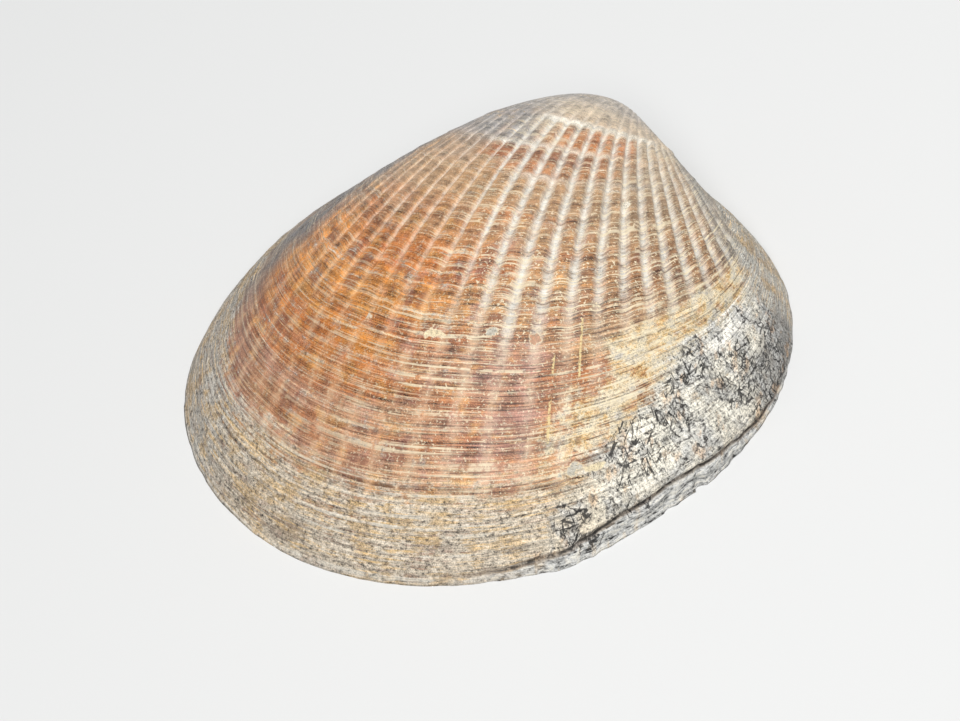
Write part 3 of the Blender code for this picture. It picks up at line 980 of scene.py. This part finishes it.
def shadeChalk(shell):
    # chalk: grey and golden clouds, grain, plates, and painted shadow in the cracks and along the ledge
    # lines
    colour = shell.crustTone.mixed("chalkGrey", shell.coarse.between(0.42, 0.64) * 0.75)
    colour = colour.mixed("gold", shell.blotch.between(0.56, 0.68) * 0.35)
    colour = colour.scaled(mottled(shell, 1.0, fine=2.4, sand=1.8, lines=1.6, medium=0.8, plateLight=0.35))
    dark = shell.darkLine * 0.5 + shell.sand.below(0.34, 0.42) * 0.6 + shell.cracks * 0.8
    return colour.mixed(outsideLook["crack"], dark.clamped())


def shadeLip(shell, colour):
    # streaked grey and white laminae with painted shade in their gaps, beyond a groove darkened with
    # painted shade
    flaky = shell.tree.plain("chalkGrey").mixed("crustGold", shell.blotch.between(0.52, 0.66) * 0.4)
    flaky = flaky.scaled(mottled(shell, 1.04, splinter=4.2, lines=1.8, sand=1.8, fine=1.2))
    flaky = flaky.mixed("white", shell.splinter.between(0.54, 0.61) * 0.8)
    # painted shade: the gaps between the laminae turned black
    flaky = flaky.mixed(outsideLook["black"], shell.splinter.below(0.33, 0.40) * 0.85)
    colour = colour.mixed(flaky, shell.beyondLip)
    # painted shade in the groove: brown, and black at its deepest
    colour = colour.mixed("grooveShadeBrown", shell.lipGroove.between(0.05, 0.55) * 0.55)
    deepest = shell.lipGroove.between(0.45, 0.85) * shell.medium.between(0.34, 0.54)
    return colour.mixed(outsideLook["black"], deepest * 0.9)


def shadeChips(shell, colour):
    # chips are ragged spots with a pale edge, scratches are thin, cream and run down a rib
    for angle, growth, halfAround, halfGrowth, name in outsideLook["chips"]:
        away = ((shell.around - angle) / halfAround) ** 2.0 + ((shell.growth - growth) / halfGrowth) ** 2.0
        away = mottled(shell, away.math("SQRT", away), medium=3.4, coarse=1.2)
        colour = colour.mixed("paleLine", away.below(0.98, 1.25) * 0.7)
        core = shell.tree.plain(name).scaled(mottled(shell, 1.0, fine=2.4, sand=2.0))
        colour = colour.mixed(core, away.below(0.78, 0.98) * 0.7)
    for angle, low, high in outsideLook["scratches"]:
        thin = abs(mottled(shell, shell.around - angle, sand=0.8)).below(0.16, 0.38)
        along = shell.growth.between(low, low + 0.004) * shell.growth.below(high - 0.004, high)
        colour = colour.mixed("chipYellow", thin * along * shell.sand.between(0.36, 0.50) * 0.9)
    return colour


def blackMarks(shell):
    # short bent strokes in three directions and small blots, in the black zones
    look = outsideLook
    sideways = shell.around * look["degreeLength"]
    downwards = shell.growth * look["growthLength"]
    marked = shell.pits.between(0.60, 0.64) * 0.7
    for direction, seed in look["strokeSets"]:
        cosine = math.cos(math.radians(direction))
        sine = math.sin(math.radians(direction))
        along = (sideways * cosine + downwards * sine) * look["strokeAlong"]
        across = (downwards * cosine - sideways * sine) * look["strokeAcross"]
        strokes = shell.tree.joined(along, across, seed).noise(1.0, 1.0, 0.5, look["strokeBend"])
        marked = marked + strokes.between(0.625, 0.665)
    zone = mottled(shell, shell.black, coarse=2.2).between(0.50, 0.72) * shell.black.between(0.02, 0.15)
    return marked.clamped() * zone * shell.sand.between(0.26, 0.42)


def outsideMaterial():
    material, tree, shader = newMaterial("shellOutside")
    look = outsideLook
    shell = outsideWires(tree)
    marked = blackMarks(shell)

    # the ribs first, then what lies over them
    colour = shadeRibs(shell).mixed(shadeCream(shell), shell.creamEdge * look["creamStrength"])
    colour = shadeGrooves(shell, colour)
    colour = colour.mixed(shadeCrust(shell), shell.crustEdge)
    colour = colour.mixed(shadeChalk(shell), shell.chalkEdge)
    colour = shadeChips(shell, shadeLip(shell, colour))
    plug(colour.mixed(look["black"], marked * look["blackStrength"]), shader, "Base Color")

    dull = (shell.crustEdge + shell.chalkEdge).clamped()
    roughness = look["roughness"] + dull * (look["crustRoughness"] - look["roughness"])
    plug(mottled(shell, roughness, fine=0.2), shader, "Roughness")

    height = mottled(shell, 0.0, lines=look["lineDepth"]) * (0.5 + shell.old)
    height = mottled(shell, height, hair=look["hairDepth"], ledges=look["ledgeStep"],
                     threads=look["threadStep"], fine=look["grainDepth"])
    height = height + (shell.rows - 0.5) * look["rowDepth"] * shell.young
    height = height + (shell.medium - 0.5) * dull * look["crustDepth"] - marked * look["markDepth"]
    chalky = shell.plateLight * look["plateStep"] - shell.cracks * look["crackDepth"]
    height = height + mottled(shell, chalky, sand=look["sandDepth"]) * shell.chalkEdge
    height = height + (shell.splinter - 0.5) * shell.beyondLip * look["splinterDepth"]
    bumped = tree.make("ShaderNodeBump", None, {"Height": height, "Distance": 0.001, "Strength": 1.0})
    plug(bumped, shader, "Normal")
    return material


insideLook = {
    "cloudFineness": 90.0, "grainFineness": 1400.0,
    "roughness": 0.32,
    "cloudDepth": 0.05, "grainDepth": 0.02,     # bumps, in mm
}


def insideMaterial():
    # white, warmer in clouds, towards the rim and on the scars, with a brown stain on one side
    material, tree, shader = newMaterial("shellInside")
    across = tree.make("ShaderNodeUVMap", {"uv_map": "growthMap"}).part(1)
    position = tree.make("ShaderNodeTexCoord", None, None, "Object")
    scar = tree.attribute("scar")
    cloud = position.noise(insideLook["cloudFineness"], 3.0)
    fine = position.noise(insideLook["grainFineness"], 2.0)
    rimward = across.below(1.02, 1.42)
    colour = tree.plain("porcelain").mixed("warm", cloud.between(0.45, 0.75) * 0.45)
    colour = colour.mixed("warm", rimward * 0.35)
    colour = colour.mixed("warm", scar * 0.45)
    stained = (position.part(0) * 40.0 + (cloud - 0.5) * 2.4).between(0.15, 1.1)
    colour = colour.mixed("insideBrown", stained * across.between(1.40, 1.55) * 0.4)
    plug(colour.scaled(0.93 + fine * 0.14), shader, "Base Color")
    roughness = insideLook["roughness"] + rimward * 0.25 + scar * 0.12 + (cloud - 0.5) * 0.1
    plug(roughness, shader, "Roughness")
    height = fine * insideLook["grainDepth"] + cloud * insideLook["cloudDepth"]
    bumped = tree.make("ShaderNodeBump", None, {"Height": height, "Distance": 0.001, "Strength": 0.6})
    plug(bumped, shader, "Normal")
    return material


def added(name, data):
    # an object with this mesh, lamp or camera, in the scene
    holder = bpy.data.objects.new(name, data)
    bpy.context.scene.collection.objects.link(holder)
    return holder


mesh, insideFace = makeValve()
print("valve surface made:", len(mesh.polygons), "faces")
mesh.materials.append(outsideMaterial())
mesh.materials.append(insideMaterial())
mesh.polygons.foreach_set("material_index", insideFace)
valve = added("shellValve", mesh)
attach(valve, "root")
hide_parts("shell_valve")
print("materials made")


# metres and watts
studio = {
    "floorSize": 3.0, "floorColour": (0.72, 0.72, 0.71, 1.0), "floorRoughness": 0.8,
    "worldColour": (0.95, 0.97, 1.0, 1.0), "worldStrength": 0.34,
    "keyPlace": (0.10, 0.17, 0.60), "keySize": 0.12, "keyPower": 2.4,
    "fillPlace": (0.20, -0.42, 0.44), "fillSize": 0.3, "fillPower": 1.9,
}

# where the camera stands, its three axes and its lens, fitted to the photo
cameraView = {
    "place": (0.159334, -0.249838, 0.24762),
    "right": (0.8941, 0.4195, -0.1565),
    "up": (-0.1685, 0.6390, 0.7505),
    "back": (0.4149, -0.6447, 0.6420),
    "lens": 142.06, "sensor": 36.0,
}


def addFloor():
    half = studio["floorSize"] / 2.0
    floorMesh = bpy.data.meshes.new("floor")
    corners = [(-half, -half, 0.0), (half, -half, 0.0), (half, half, 0.0), (-half, half, 0.0)]
    floorMesh.from_pydata(corners, [], [(0, 1, 2, 3)])
    material, tree, shader = newMaterial("floor")
    shader.inputs["Base Color"].default_value = studio["floorColour"]
    shader.inputs["Roughness"].default_value = studio["floorRoughness"]
    floorMesh.materials.append(material)
    floor = added("floor", floorMesh)


def addLight(name, place, size, power):
    # a round lamp that faces the origin
    light = bpy.data.lights.new(name, "AREA")
    light.shape = "DISK"
    light.size = size
    light.energy = power
    back = np.array(place, float)
    back /= np.linalg.norm(back)
    right = np.cross((0.0, 0.0, 1.0), back)
    right /= np.linalg.norm(right)
    up = np.cross(back, right)
    added(name, light).matrix_world = placed(right, up, back, place)


def placed(right, up, back, place):
    # a matrix from three axes and a place
    rows = [list(row) for row in np.column_stack([right, up, back, place])]
    return Matrix(rows + [[0.0, 0.0, 0.0, 1.0]])


def addCamera():
    view = cameraView
    camera = bpy.data.cameras.new("camera")
    camera.lens = view["lens"]
    camera.sensor_width = view["sensor"]
    camera.sensor_fit = "HORIZONTAL"
    camera.clip_start = 0.01
    holder = added("camera", camera)
    holder.matrix_world = placed(view["right"], view["up"], view["back"], view["place"])
    bpy.context.scene.camera = holder


addFloor()
addLight("key", studio["keyPlace"], studio["keySize"], studio["keyPower"])
addLight("fill", studio["fillPlace"], studio["fillSize"], studio["fillPower"])
world = bpy.data.worlds.new("studio")
world.use_nodes = True
background = world.node_tree.nodes["Background"].inputs
background["Color"].default_value = studio["worldColour"]
background["Strength"].default_value = studio["worldStrength"]
bpy.context.scene.world = world
bpy.context.scene.view_settings.view_transform = "Standard"
addCamera()
print("floor, light and camera made")
